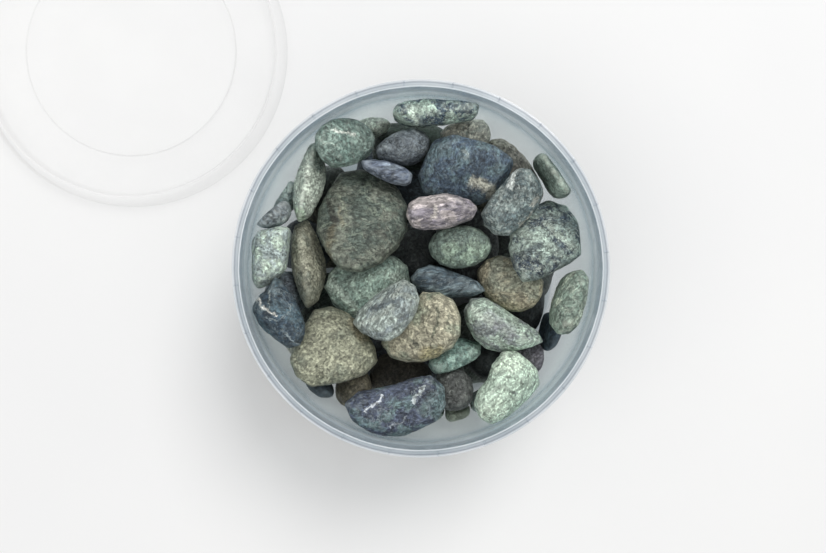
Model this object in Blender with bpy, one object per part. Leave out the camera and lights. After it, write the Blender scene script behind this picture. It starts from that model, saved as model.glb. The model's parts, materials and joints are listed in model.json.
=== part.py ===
"""A clear round tub of tumbled massage stones, with its push-on lid lying beside it.

Metres, +Z up. The origin is on the tub's axis, on the flat underside that the tub stands on.
Stones are drawn in millimetres as outlines seen from above, then piled: each one is lowered straight
down, in the order of the lists, until it rests on the stones, the wall or the floor below it.
"""

import math

import bmesh
import bpy
from mathutils import Matrix, Vector
from mathutils.bvhtree import BVHTree

MM = 0.001
EDGE = 0.5 * MM                 # chamfer of a moulded edge
MERGE_DISTANCE = 1e-6
SHARP_ANGLE = math.radians(45)

# Tub
RIM_RADIUS = 98.0 * MM          # outside of the collar
TUB_HEIGHT = 110.0 * MM
COLLAR_TOP = 106.0 * MM
COLLAR_BOTTOM = 96.0 * MM
COLLAR_THICKNESS = 1.2 * MM
BEAD_RADIUS = 93.6 * MM         # middle of the thin lip that stands above the collar
BEAD_HALF = 0.6 * MM
STEP_HEIGHT = 100.0 * MM        # stacking step inside the mouth
FLOOR_THICKNESS = 1.6 * MM
WALL_THICKNESS = 1.3 * MM
INNER_FLOOR_RADIUS = 85.0 * MM
INNER_STEP_RADIUS = 92.6 * MM
CORNER = 3.0 * MM               # rounding where the wall meets the floor
BASE_RADIUS = 83.0 * MM
BASE_EDGE = (0.6 * MM, 1.2 * MM)  # how far in and up the chamfer round the underside goes
COLLAR_FILLET = 0.3 * MM        # where the lip stands on the collar
TUB_SEGMENTS = 64

# Lid
LID_CENTRE = (-183.7 * MM, 139.5 * MM)
LID_RADIUS = 99.0 * MM
LID_HEIGHT = 11.0 * MM
LID_SHEET = 0.9 * MM
LID_GROOVE_RADIUS = 92.6 * MM
LID_PANEL_RADIUS = 66.6 * MM
LID_PANEL_TOP = 6.0 * MM
LID_PANEL_STEP = 0.8 * MM
LID_GATE_RADIUS = 3.0 * MM      # moulding nub in the middle of the panel
LID_GATE_HEIGHT = 0.4 * MM
LID_PANEL_SLOPE = 1.0 * MM
LID_SKIRT_SLOPE = 0.6 * MM
LID_BEND = 1.2 * MM             # height lost round the rim's outer bend
LID_GROOVE_FOOT = 2.0 * MM      # width of the bend at the foot of the groove
LID_SEGMENTS = 64

# Stones
CLEARANCE = 0.45 * MM           # least gap that a stone keeps to what it touches
OUTLINE_POINTS = 14
SPAN_STEPS = 6                  # points of the smooth curve between two outline corners
VIEW_AXIS = (-4.1, -4.2)        # the point that lower layers are spread about, mm
DROP_HEIGHT = 0.5               # a height above every piece
EDGE_SAMPLES = (0.25, 0.5, 0.75)
SLIDE_COST = 0.2                # height that a stone has to win for each unit of length that it slides
MOST_LEAN = 0.35                # rise per unit of length
SEARCH_STEPS = (0.5, 0.35, 0.25, 0.15, 0.1)
SEARCH_DIRECTIONS = 8

# Each ring of a stone: its height as a part of the half thickness, from the underside to the crown.
RING_HEIGHTS = (-1.0, -0.62, 0.0, 0.52, 0.86, 1.0)
UNDERSIDE_SHRINK = 0.48         # width of the flat underside, as a part of the outline
CROWN_SHRINK = 0.16             # width of the crown's last ring
STONE_ROUGHNESS = 0.75
UNDERSIDE_POWER = 2.4

# Layer: how far its outlines are spread about VIEW_AXIS, the widest radius that a stone may reach, how far a
# stone may slide to settle, and the height that its crown should reach, mm. Low stones are the thicker ones.
LAYERS = {
    "base": (1.0, 85.2, 1.0 * MM, 32.0),
    "deep": (1.095, 87.8, 5.0 * MM, 56.0),
    "side": (1.06, 90.6, 2.5 * MM, 84.0),
    "mid": (1.06, 90.2, 3.0 * MM, 79.0),
    "high": (1.03, 91.6, 2.5 * MM, 94.0),
    "top": (1.02, 91.8, 2.0 * MM, 103.0),
}
UNDERSIDE_RANGE = (0.6, 2.3)    # how much flatter or deeper than drawn a stone's underside may be
UNDERSIDE_ROUNDS = 3
CROWN_SHARE = 0.44              # part of a stone's thickness that is above its widest ring
LEAST_SQUEEZE = 0.6             # least part of its radial depth that an outline keeps beside the wall

# The bottom layer: one stone in the middle and a ring of stones round it.
BASE_COLOURS = ("5C6663", "6F7A70", "54626B", "7B7C69", "66716A", "4E5A60", "7A857C")
BASE_RING_RADIUS = 56.5
BASE_HALF_LENGTH = 26.0
BASE_HALF_WIDTH = 25.5
BASE_CENTRE_HALF = 26.0
BASE_LOBE = 0.04                # how far a base outline swells at its three lobes
BASE_WEDGE = 0.26               # how much wider a ring stone is at the wall than at its middle
BASE_THICKNESS = 28.0
BASE_CORNERS = 9
BASE_LOBES = 3
BASE_LOBE_TURN = 2.0            # turn of the lobes from one stone to the next, radians
BASE_CROWN_POWER = 2.4

# Stones from the lowest to the highest:
# name, layer, thickness, lean (rise per unit of length along x and y), crown power, colour, outline.
# A low crown power gives a ridge, a high one a flat pillow.
STONES = (
    ("sage_wall_pebble", "side", 26, (0.0, 0.1), 2.2, "7C9187",
     ((-5, -84), (-3, -76), (6, -73), (13, -77), (14, -87), (4, -92))),
    ("olive_wall_pebble", "side", 26, (0.0, 0.1), 2.2, "646C5F",
     ((15, -79), (24, -78), (28, -84), (25, -90), (15, -91))),
    ("teal_wall_pebble", "side", 26, (0.0, 0.1), 2.2, "96A8A5",
     ((30, -84), (31, -76), (40, -71), (50, -73), (47, -80), (37, -88))),
    ("charcoal_pebble", "side", 24, (0.0, 0.0), 2.4, "3C3C3A",
     ((9, -65), (11, -55), (20, -53), (28, -61), (28, -71), (20, -76), (11, -74))),
    ("umber_front_stone", "deep", 28, (0.1, 0.0), 2.4, "555048",
     ((-24, -52), (-18, -43), (-7, -43), (6, -48), (10, -55), (6, -62), (-6, -66), (-19, -65), (-24, -60))),
    ("bark_brown_pebble", "side", 26, (0.0, 0.0), 2.3, "464234",
     ((-47, -68), (-42, -57), (-31, -56), (-26, -66), (-32, -77), (-43, -76))),
    ("blue_black_pebble", "side", 26, (0.0, 0.1), 2.3, "323E44",
     ((-67, -67), (-58, -62), (-50, -66), (-49, -75), (-56, -78), (-64, -74))),
    ("buff_wall_stone", "side", 30, (0.1, 0.0), 2.2, "96968A",
     ((-89, -29), (-82, -29), (-74, -38), (-70, -50), (-75, -57), (-82, -48), (-88, -38))),
    ("slate_wall_stone", "side", 28, (0.0, 0.1), 2.3, "4B5055",
     ((-84, -10), (-78, -3), (-68, -4), (-62, -14), (-66, -24), (-76, -26), (-84, -18))),
    ("granite_gap_stone", "deep", 30, (0.0, 0.0), 2.5, "4B5050",
     ((-16, 10), (-11, 20), (-2, 25), (7, 23), (10, 12), (9, 3), (3, -4), (-8, -4), (-15, 2))),
    ("moss_back_stone", "deep", 32, (0.0, 0.1), 2.4, "4B5F52",
     ((-27, 62), (-25, 76), (-19, 82), (-5, 83), (12, 80), (19, 70), (12, 58), (-4, 52), (-19, 54))),
    ("plum_side_stone", "side", 26, (0.1, 0.0), 2.3, "5F5C62",
     ((50, -50), (54, -42), (62, -39), (69, -44), (68, -55), (60, -60), (52, -57))),
    ("ink_blue_side_stone", "side", 28, (0.1, 0.0), 2.3, "32414E",
     ((71, -38), (73, -28), (80, -26), (85, -34), (80, -46), (73, -48))),
    ("shadow_grey_stone", "deep", 28, (0.0, 0.0), 2.4, "454A4C",
     ((46, -26), (52, -14), (62, -8), (70, -10), (70, -26), (66, -35), (55, -38), (48, -34))),
    ("grey_gap_stone", "deep", 26, (0.0, 0.0), 2.4, "4A4E50",
     ((25, -50), (30, -42), (39, -42), (44, -49), (41, -57), (31, -58))),
    ("ash_centre_stone", "deep", 28, (0.0, 0.0), 2.4, "565C5C",
     ((12, 28), (20, 34), (30, 32), (40, 24), (42, 10), (36, -8), (28, -18), (18, -8), (11, 10))),
    ("steel_left_stone", "deep", 30, (0.0, 0.0), 2.4, "59636A",
     ((-76, 12), (-70, 24), (-60, 28), (-49, 22), (-45, 8), (-54, 0), (-70, 2))),
    ("sage_under_stone", "deep", 30, (0.0, 0.0), 2.4, "66706A",
     ((-78, 40), (-72, 52), (-60, 57), (-48, 54), (-44, 44), (-52, 34), (-64, 29), (-75, 30))),
    ("dusk_under_stone", "deep", 30, (0.0, 0.0), 2.4, "5A6166",
     ((-48, -30), (-40, -20), (-28, -20), (-20, -30), (-22, -42), (-34, -46), (-46, -42))),
    ("pale_cream_back_stone", "mid", 26, (0.0, 0.15), 2.3, "BEC8B9",
     ((-46, 78), (-39, 84), (-30, 87), (-21, 84), (-17, 79), (-22, 72), (-34, 70), (-43, 72))),
    ("brown_back_stone", "mid", 30, (0.0, 0.1), 2.5, "6E695C",
     ((35, 62), (40, 74), (50, 76), (61, 66), (68, 54), (70, 42), (62, 35), (51, 43), (41, 53))),
    ("peach_back_stone", "mid", 24, (0.0, 0.15), 2.3, "AFAFA2",
     ((13, 72), (18, 77), (28, 80), (36, 80), (40, 74), (39, 66), (30, 61), (18, 63))),
    ("green_grey_back_stone", "mid", 24, (0.1, 0.0), 2.3, "6E7D7D",
     ((-82, 48), (-77, 53), (-72, 50), (-70, 44), (-73, 36), (-80, 31), (-88, 28), (-90, 34), (-87, 42))),
    ("tan_ridge_stone", "mid", 30, (-0.1, 0.0), 1.5, "8C8A7A",
     ((-68, 23), (-62, 24), (-58, 16), (-53, 3), (-53, -8), (-57, -20), (-61, -23), (-66, -14),
      (-70, 0), (-71, 14))),
    ("green_rim_stone", "top", 26, (-0.1, 0.0), 2.0, "788A7E",
     ((93, -3), (93, -12), (90, -26), (84, -34), (76, -37), (70, -31), (71, -20), (76, -9), (84, -3))),
    ("sage_big_stone", "mid", 30, (0.0, 0.0), 2.4, "6E8278",
     ((-50, 0), (-53, -8), (-49, -17), (-42, -24), (-32, -26), (-20, -23), (-11, -14), (-8, -3),
      (-13, 7), (-28, 8), (-42, 6))),
    ("tan_right_stone", "mid", 24, (0.0, 0.0), 2.5, "968E76",
     ((36, 3), (46, 6), (57, 1), (66, -6), (66, -15), (60, -22), (50, -24), (40, -19), (33, -10), (32, -2))),
    ("olive_big_stone", "mid", 30, (0.0, 0.0), 2.6, "878A73",
     ((-60, -25), (-47, -22), (-37, -27), (-29, -36), (-24, -47), (-27, -56), (-36, -62), (-50, -66),
      (-64, -68), (-72, -61), (-75, -53), (-70, -43))),
    ("teal_wedge_stone", "mid", 20, (0.0, -0.1), 2.0, "78918A",
     ((20, -38), (30, -41), (34, -43), (31, -49), (18, -55), (8, -57), (5, -51), (10, -45))),
    ("grey_pale_left_stone", "top", 22, (0.1, 0.0), 2.4, "96A2A3",
     ((-70, 22), (-71, 10), (-70, 2), (-77, -5), (-85, -10), (-92, -10), (-93, 4), (-92, 18), (-82, 21))),
    ("navy_left_stone", "top", 21, (0.1, 0.0), 2.2, "303E48",
     ((-75, -3), (-70, -7), (-65, -16), (-60, -26), (-60, -36), (-66, -43), (-73, -40), (-84, -33),
      (-91, -24), (-89, -17), (-81, -11))),
    ("blue_grey_wall_pebble", "top", 15, (0.1, 0.0), 2.2, "828C91",
     ((-70, 31), (-73, 35), (-79, 32), (-86, 27), (-91, 23), (-86, 21), (-77, 22), (-71, 25))),
    ("green_ridge_stone", "high", 22, (0.0, 0.1), 1.4, "7F9088",
     ((-60, 71), (-56, 62), (-53, 47), (-57, 34), (-64, 24), (-69, 27), (-71, 42), (-68, 55), (-63, 67))),
    ("dark_wedge_stone", "top", 20, (0.0, 0.1), 1.9, "50555A",
     ((-25, 61), (-17, 70), (-4, 75), (2, 72), (5, 67), (2, 60), (-5, 55), (-14, 56))),
    ("green_giant_stone", "high", 30, (0.0, -0.1), 2.5, "585F58",
     ((-45, 50), (-33, 52), (-21, 48), (-12, 40), (-8, 29), (-9, 15), (-17, 5), (-27, -3), (-39, -5),
      (-48, 3), (-55, 14), (-56, 27), (-51, 40))),
    ("round_green_stone", "top", 22, (0.0, 0.1), 2.4, "697D76",
     ((-57, 68), (-56, 60), (-50, 53), (-42, 53), (-32, 57), (-26, 64), (-28, 73), (-38, 78), (-50, 76))),
    ("grey_blade_stone", "top", 14, (0.1, 0.0), 1.9, "6E7680",
     ((-34, 56), (-26, 58), (-15, 56), (-6, 51), (-7, 46), (-14, 45), (-24, 49))),
    ("mottled_back_stone", "top", 20, (0.0, 0.1), 2.2, "A5B9AC",
     ((-15, 85), (-9, 92), (4, 93), (20, 91), (33, 88), (32, 82), (18, 78), (4, 76), (-7, 78))),
    ("blue_angular_stone", "high", 30, (0.0, 0.0), 2.9, "3E4E5C",
     ((8, 72), (24, 69), (44, 63), (47, 57), (42, 45), (33, 36), (22, 37), (2, 41), (-3, 50), (1, 60))),
    ("pale_right_stone", "top", 30, (-0.2, 0.0), 1.9, "82968C",
     ((67, 62), (76, 53), (84, 42), (80, 38), (72, 39), (65, 50), (63, 58))),
    ("dark_teardrop_stone", "high", 18, (0.0, 0.0), 2.1, "4B5A62",
     ((-6, -4), (1, 3), (12, 2), (24, -3), (33, -7), (33, -12), (20, -14), (4, -14), (-3, -9))),
    ("green_egg_stone", "top", 22, (0.0, 0.0), 2.3, "697A6E",
     ((4, 12), (9, 20), (20, 23), (31, 21), (38, 13), (34, 5), (23, 0), (12, 2), (6, 7))),
    ("striped_green_stone", "high", 22, (-0.1, 0.0), 2.5, "5F6E70",
     ((66, 34), (78, 36), (86, 29), (91, 15), (89, 5), (78, -1), (63, -8), (54, -9), (49, 0), (48, 16),
      (56, 26))),
    ("speckled_oval_stone", "top", 22, (0.1, 0.0), 2.2, "556264",
     ((51, 53), (58, 51), (63, 43), (61, 33), (53, 24), (44, 17), (36, 19), (30, 28), (36, 38), (44, 47))),
    ("pink_bar_stone", "top", 20, (0.0, 0.0), 2.3, "9C949B",
     ((-7, 32), (-1, 38), (14, 39.5), (26, 36), (30, 30), (24, 25), (8, 21), (-4, 23))),
    ("cream_beige_stone", "high", 28, (0.0, 0.0), 2.5, "A5A28C",
     ((2, -14), (16, -15), (22, -24), (22, -38), (14, -46), (0, -51), (-13, -49), (-19, -41), (-12, -30),
      (-3, -20))),
    ("swirled_grey_stone", "top", 24, (0.0, 0.0), 2.4, "788082",
     ((-7, -6), (-1, -10), (1, -19), (-4, -30), (-13, -38), (-23, -37), (-33, -31), (-32, -24), (-20, -13))),
    ("green_slipper_stone", "high", 28, (-0.2, 0.1), 2.0, "9CAEA2",
     ((28, -15), (36, -16), (48, -24), (62, -33), (66, -38), (58, -42), (44, -44), (33, -41), (25, -31),
      (23, -22))),
    ("violet_blue_stone", "top", 24, (0.0, 0.0), 2.6, "484E62",
     ((-42, -73), (-33, -66), (-18, -63), (0, -56), (8, -58), (13, -67), (11, -79), (2, -85), (-10, -91),
      (-26, -90), (-38, -82))),
    ("mint_triangle_stone", "top", 26, (0.0, 0.0), 2.3, "B4C3B2",
     ((46, -42), (54, -44), (64, -53), (67, -62), (58, -72), (44, -82), (35, -82), (29, -68), (36, -59),
      (39, -49))),
)


def linear(code):
    """Linear RGB of an sRGB hex code."""
    parts = [int(code[i:i + 2], 16) / 255 for i in (0, 2, 4)]
    return tuple(p / 12.92 if p <= 0.04045 else ((p + 0.055) / 1.055) ** 2.4 for p in parts)


def material(name, code, roughness, transmission=0.0):
    made = bpy.data.materials.new(name)
    made.use_nodes = True
    shader = made.node_tree.nodes["Principled BSDF"]
    shader.inputs["Base Color"].default_value = (*linear(code), 1.0)
    shader.inputs["Roughness"].default_value = roughness
    shader.inputs["Metallic"].default_value = 0.0
    shader.inputs["Transmission Weight"].default_value = transmission
    return made


def add_object(name, mesh, finish, place=(0.0, 0.0, 0.0)):
    made = bpy.data.objects.new(name, mesh)
    made.location = place
    mesh.materials.append(finish)
    mesh.shade_smooth()
    mesh.set_sharp_from_angle(angle=SHARP_ANGLE)
    bpy.context.scene.collection.objects.link(made)


def turned(name, profile, segments):
    """A mesh turned about Z from an open profile of (radius, height) that starts and ends on the axis."""
    bm = bmesh.new()
    points = [bm.verts.new((radius, 0.0, height)) for radius, height in profile]
    edges = [bm.edges.new(pair) for pair in zip(points, points[1:])]
    bmesh.ops.spin(bm, geom=points + edges, axis=(0, 0, 1), cent=(0, 0, 0), angle=math.tau,
                   steps=segments, use_merge=True)
    bmesh.ops.remove_doubles(bm, verts=bm.verts, dist=MERGE_DISTANCE)
    bmesh.ops.recalc_face_normals(bm, faces=bm.faces)
    mesh = bpy.data.meshes.new(name)
    bm.to_mesh(mesh)
    bm.free()
    return mesh


def wall_radius(height):
    """Radius of the tub's inner wall at a height."""
    rise = (height - FLOOR_THICKNESS) / (STEP_HEIGHT - FLOOR_THICKNESS)
    return INNER_FLOOR_RADIUS + rise * (INNER_STEP_RADIUS - INNER_FLOOR_RADIUS)


def lowest_height(radius):
    """Height of the floor, of its rounded corner or of the inner wall at a radius."""
    corner = min(CORNER, max(0.0, radius - INNER_FLOOR_RADIUS + CORNER))
    rise = (radius - INNER_FLOOR_RADIUS) / (INNER_STEP_RADIUS - INNER_FLOOR_RADIUS)
    return FLOOR_THICKNESS + max(corner, rise * (STEP_HEIGHT - FLOOR_THICKNESS))


def build_tub(finish):
    skirt = RIM_RADIUS - COLLAR_THICKNESS
    under_collar = COLLAR_TOP - COLLAR_THICKNESS
    neck = BEAD_RADIUS + BEAD_HALF
    wall_low = wall_radius(CORNER + FLOOR_THICKNESS) + WALL_THICKNESS
    wall_high = wall_radius(COLLAR_BOTTOM) + WALL_THICKNESS
    bend = CORNER * (1 - math.sqrt(0.5))
    outside = [
        (0.0, 0.0),
        (BASE_RADIUS, 0.0),
        (wall_low - BASE_EDGE[0], BASE_EDGE[1]),
        (wall_low, CORNER + FLOOR_THICKNESS),
        (wall_high, COLLAR_BOTTOM),
        (neck, STEP_HEIGHT),
        (neck, under_collar),
        (skirt, under_collar),
        (skirt, COLLAR_BOTTOM),
        (RIM_RADIUS, COLLAR_BOTTOM),
        (RIM_RADIUS, COLLAR_TOP - EDGE),
        (RIM_RADIUS - EDGE, COLLAR_TOP),
        (neck + COLLAR_FILLET, COLLAR_TOP),
        (neck, TUB_HEIGHT - EDGE),
        (BEAD_RADIUS, TUB_HEIGHT),
    ]
    inside = [
        (BEAD_RADIUS - BEAD_HALF, TUB_HEIGHT - EDGE),
        (BEAD_RADIUS - BEAD_HALF, STEP_HEIGHT + 2 * EDGE),
        (INNER_STEP_RADIUS, STEP_HEIGHT),
        (wall_radius(FLOOR_THICKNESS + CORNER), FLOOR_THICKNESS + CORNER),
        (INNER_FLOOR_RADIUS - bend, FLOOR_THICKNESS + bend),
        (INNER_FLOOR_RADIUS - CORNER, FLOOR_THICKNESS),
        (0.0, FLOOR_THICKNESS),
    ]
    add_object("tub", turned("tub", outside + inside, TUB_SEGMENTS), finish)


def build_lid(finish):
    ring = 0.5 * (LID_GROOVE_RADIUS + LID_RADIUS)
    floor_top = LID_PANEL_TOP - LID_PANEL_STEP
    under_bend = LID_HEIGHT - 2 * LID_SHEET
    over = [
        (0.0, LID_PANEL_TOP + LID_GATE_HEIGHT),
        (LID_GATE_RADIUS, LID_PANEL_TOP + LID_GATE_HEIGHT),
        (LID_GATE_RADIUS + EDGE, LID_PANEL_TOP),
        (LID_PANEL_RADIUS, LID_PANEL_TOP),
        (LID_PANEL_RADIUS + LID_PANEL_SLOPE, floor_top),
        (LID_GROOVE_RADIUS - LID_GROOVE_FOOT, floor_top),
        (LID_GROOVE_RADIUS - LID_SKIRT_SLOPE, floor_top + 2 * EDGE),
        (LID_GROOVE_RADIUS, LID_HEIGHT - 2 * EDGE),
        (LID_GROOVE_RADIUS + 2 * EDGE, LID_HEIGHT),
        (LID_RADIUS - LID_GROOVE_FOOT, LID_HEIGHT),
        (LID_RADIUS - LID_SKIRT_SLOPE, LID_HEIGHT - LID_BEND),
        (LID_RADIUS, 0.0),
    ]
    under = [
        (LID_RADIUS - LID_SHEET, 0.0),
        (LID_RADIUS - LID_SKIRT_SLOPE - LID_SHEET, under_bend),
        (ring, LID_HEIGHT - LID_SHEET),
        (LID_GROOVE_RADIUS + LID_SHEET, under_bend),
        (LID_GROOVE_RADIUS + LID_SHEET - LID_SKIRT_SLOPE, floor_top + EDGE),
        (LID_GROOVE_RADIUS - LID_GROOVE_FOOT + EDGE, floor_top - LID_SHEET),
        (LID_PANEL_RADIUS + LID_PANEL_SLOPE - EDGE, floor_top - LID_SHEET),
        (LID_PANEL_RADIUS - EDGE, LID_PANEL_TOP - LID_SHEET),
        (0.0, LID_PANEL_TOP - LID_SHEET),
    ]
    add_object("lid", turned("lid", over + under, LID_SEGMENTS), finish, (*LID_CENTRE, 0.0))


def smooth_loop(corners, count):
    """Evenly spaced points, anticlockwise, on a smooth closed curve through the corners."""
    corners = [Vector(corner) for corner in corners]
    size = len(corners)
    if sum(corners[i - 1].cross(corners[i]) for i in range(size)) < 0:
        corners.reverse()
    dense = []
    for i in range(size):
        before, start, end, after = (corners[(i + k) % size] for k in (-1, 0, 1, 2))
        for step in range(SPAN_STEPS):
            t = step / SPAN_STEPS
            dense.append(0.5 * (2 * start + (end - before) * t
                                + (2 * before - 5 * start + 4 * end - after) * t ** 2
                                + (3 * start - before - 3 * end + after) * t ** 3))
    lengths = [(dense[(i + 1) % len(dense)] - point).length for i, point in enumerate(dense)]
    spacing = sum(lengths) / count
    points, walked, target = [], 0.0, 0.0
    for i, point in enumerate(dense):
        while target < walked + lengths[i] and len(points) < count:
            points.append(point.lerp(dense[(i + 1) % len(dense)], (target - walked) / lengths[i]))
            target += spacing
        walked += lengths[i]
    return points


def spread(points, factor, limit):
    """Outline points moved out from VIEW_AXIS by a factor, then squeezed towards the tub's axis."""
    centre = Vector(VIEW_AXIS)
    moved = [centre + (point - centre) * factor for point in points]
    near = min(point.length for point in moved)
    far = max(point.length for point in moved)
    if far <= limit:
        return moved
    start = min(near, limit - LEAST_SQUEEZE * (far - near))
    rate = (limit - start) / (far - near)
    return [point * (start + (point.length - near) * rate) / point.length for point in moved]


def spine_of(points):
    """The two ends of the line along an outline's middle, and its centre."""
    centre = sum(points, Vector((0.0, 0.0))) / len(points)
    arms = [point - centre for point in points]
    xx, yy, xy = (sum(arm[i] * arm[j] for arm in arms) for i, j in ((0, 0), (1, 1), (0, 1)))
    angle = 0.5 * math.atan2(2 * xy, xx - yy)
    along = Vector((math.cos(angle), math.sin(angle)))
    across = Vector((-along.y, along.x))
    length = max(abs(arm.dot(along)) for arm in arms)
    width = max(abs(arm.dot(across)) for arm in arms)
    reach = along * max(0.0, length - width)
    return centre - reach, centre + reach, centre


def nearest_on(start, end, point):
    """The point of a line from start to end that is nearest to a point."""
    line = end - start
    if line.length < MERGE_DISTANCE:
        return start
    part = (point - start).dot(line) / line.length_squared
    return start + line * min(1.0, max(0.0, part))


def ring_width(height, crown_power):
    """Width of a stone at a height, as a part of its outline. Height runs from -1 to 1."""
    power = crown_power if height > 0 else UNDERSIDE_POWER
    least = CROWN_SHRINK if height > 0 else UNDERSIDE_SHRINK
    return max(least, (1.0 - abs(height) ** power) ** (1.0 / power))


def stone_points(outline, above, below, lean, crown_power):
    """Points of a closed stone ring by ring, in metres. Its widest ring is at height zero."""
    start, end, centre = spine_of(outline)
    points = []
    for height in RING_HEIGHTS:
        width = ring_width(height, crown_power)
        for point in outline:
            root = nearest_on(start, end, point)
            place = root + (point - root) * width
            rise = (place - centre).dot(Vector(lean)) + height * (above if height > 0 else below)
            points.append(Vector((place.x, place.y, rise)) * MM)
    return points


def stone_mesh(name, points):
    """A closed mesh over the rings of a stone's points."""
    bm = bmesh.new()
    made = [bm.verts.new(point) for point in points]
    rings = [made[i:i + OUTLINE_POINTS] for i in range(0, len(made), OUTLINE_POINTS)]
    for lower, upper in zip(rings, rings[1:]):
        for i in range(OUTLINE_POINTS):
            j = (i + 1) % OUTLINE_POINTS
            bm.faces.new((lower[i], lower[j], upper[j], upper[i]))
    bm.faces.new(rings[0][::-1])
    bm.faces.new(rings[-1])
    bmesh.ops.triangulate(bm, faces=bm.faces)
    mesh = bpy.data.meshes.new(name)
    bm.to_mesh(mesh)
    bm.free()
    return mesh


class Shape:
    """A stone grown by CLEARANCE: its points, its triangles' tree and sample points on its surface."""

    def __init__(self, points, faces, samples):
        self.points, self.faces, self.samples = points, faces, samples
        self.tree = BVHTree.FromPolygons(points, faces)
        self.low = Vector((min(p.x for p in points), min(p.y for p in points)))
        self.high = Vector((max(p.x for p in points), max(p.y for p in points)))
        self.middle = (self.low + self.high) / 2


def grown(mesh):
    points = [vert.co + vert.normal * CLEARANCE for vert in mesh.vertices]
    samples = list(points)
    for edge in mesh.edges:
        first, second = (points[i] for i in edge.vertices)
        samples.extend(first.lerp(second, part) for part in EDGE_SAMPLES)
    return Shape(points, [tuple(face.vertices) for face in mesh.polygons], samples)


def posed(point, shape, pose):
    """A point of a shape after a pose: two sideways shifts, then the rise along x and y."""
    shift_x, shift_y, lean_x, lean_y = pose
    rise = (point.x - shape.middle.x) * lean_x + (point.y - shape.middle.y) * lean_y
    return Vector((point.x + shift_x, point.y + shift_y, point.z + rise))


def resting_height(shape, pose, pile):
    """How far to lift a posed shape so that it just rests in the tub, on the pile."""
    shift = Vector(pose[:2])
    low, high = shape.low + shift, shape.high + shift
    samples = [posed(point, shape, pose) for point in shape.samples]
    corners = samples[:len(shape.points)]
    lift = max(lowest_height(point.xy.length) - point.z for point in corners)
    down, up = Vector((0, 0, -1)), Vector((0, 0, 1))
    for other in pile:
        if any(low[i] > other.high[i] or other.low[i] > high[i] for i in (0, 1)):
            continue
        for point in samples:
            if other.low.x < point.x < other.high.x and other.low.y < point.y < other.high.y:
                hit = other.tree.ray_cast(Vector((point.x, point.y, DROP_HEIGHT)), down)[0]
                if hit:
                    lift = max(lift, hit.z - point.z)
        for point in other.samples:
            if low.x < point.x < high.x and low.y < point.y < high.y:
                start = Vector((point.x - shift.x, point.y - shift.y, -DROP_HEIGHT))
                hit = shape.tree.ray_cast(start, up)[0]
                if hit:
                    lift = max(lift, point.z - posed(hit, shape, pose).z)
    return lift


def settled_pose(shape, pile, reach):
    """The pose within reach in which a shape lies lowest, less what sliding there costs."""
    pose = (0.0, 0.0, 0.0, 0.0)
    cost = resting_height(shape, pose, pile)
    for part in SEARCH_STEPS:
        for k in range(SEARCH_DIRECTIONS):
            turn = math.tau * k / SEARCH_DIRECTIONS
            way = Vector((math.cos(turn), math.sin(turn))) * part
            for step in ((*(way * reach), 0.0, 0.0), (0.0, 0.0, *(way * MOST_LEAN))):
                trial = tuple(a + b for a, b in zip(pose, step))
                slide = math.hypot(*trial[:2])
                if slide > reach or math.hypot(*trial[2:]) > MOST_LEAN:
                    continue
                trial_cost = resting_height(shape, trial, pile) + SLIDE_COST * slide
                if trial_cost < cost:
                    pose, cost = trial, trial_cost
    return pose


def base_stones():
    """Name, outline and colour of each stone of the bottom layer."""
    ring = len(BASE_COLOURS)
    for i in range(ring + 1):
        middle = i == ring
        turn = math.tau * i / ring
        along = Vector((math.cos(turn), math.sin(turn)))
        across = Vector((-along.y, along.x))
        centre = along * (0 if middle else BASE_RING_RADIUS)
        half_length = BASE_CENTRE_HALF if middle else BASE_HALF_LENGTH
        half_width = BASE_CENTRE_HALF if middle else BASE_HALF_WIDTH
        outline = []
        for k in range(BASE_CORNERS):
            angle = math.tau * k / BASE_CORNERS
            swell = 1.0 + BASE_LOBE * math.cos(BASE_LOBES * angle + BASE_LOBE_TURN * i)
            wedge = 1.0 if middle else 1.0 + BASE_WEDGE * math.cos(angle)
            outline.append(centre + along * half_length * swell * math.cos(angle)
                           + across * half_width * swell * wedge * math.sin(angle))
        yield f"base_stone_{i + 1}", outline, BASE_COLOURS[i % ring]


def build_stones():
    pile = []
    drawn = [(name, "base", BASE_THICKNESS, (0.0, 0.0), BASE_CROWN_POWER, colour, outline)
             for name, outline, colour in base_stones()]
    for name, layer, thickness, lean, crown_power, colour, corners in drawn + list(STONES):
        factor, limit, reach, crown_height = LAYERS[layer]
        outline = spread(smooth_loop(corners, OUTLINE_POINTS), factor, limit)
        above, below, pose = thickness * CROWN_SHARE, thickness / 2, None
        least, most = (part * thickness / 2 for part in UNDERSIDE_RANGE)
        for attempt in range(UNDERSIDE_ROUNDS):
            mesh = stone_mesh(name, stone_points(outline, above, below, lean, crown_power))
            shape = grown(mesh)
            pose = pose or settled_pose(shape, pile, reach)
            lift = resting_height(shape, pose, pile)
            if attempt < UNDERSIDE_ROUNDS - 1:
                below = min(most, max(least, below + crown_height - lift / MM - above))
        for vert in mesh.vertices:
            vert.co = posed(vert.co, shape, pose)
        centre = sum((vert.co for vert in mesh.vertices), Vector()) / len(mesh.vertices)
        mesh.transform(Matrix.Translation(-centre))
        up = Vector((0, 0, lift))
        add_object(name, mesh, material(name, colour, STONE_ROUGHNESS), centre + up)
        pile.append(Shape([posed(point, shape, pose) + up for point in shape.points], shape.faces,
                          [posed(point, shape, pose) + up for point in shape.samples]))


def main():
    for old in list(bpy.data.objects):
        bpy.data.objects.remove(old)
    build_tub(material("tub_clear_plastic", "D5DDE4", 0.12, 0.9))
    build_lid(material("lid_clear_plastic", "E6EAEC", 0.15, 0.9))
    build_stones()


main()
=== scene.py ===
import json
import math
import random

import bmesh
import bpy
import numpy as np
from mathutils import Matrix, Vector, noise
from mathutils.bvhtree import BVHTree

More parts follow.
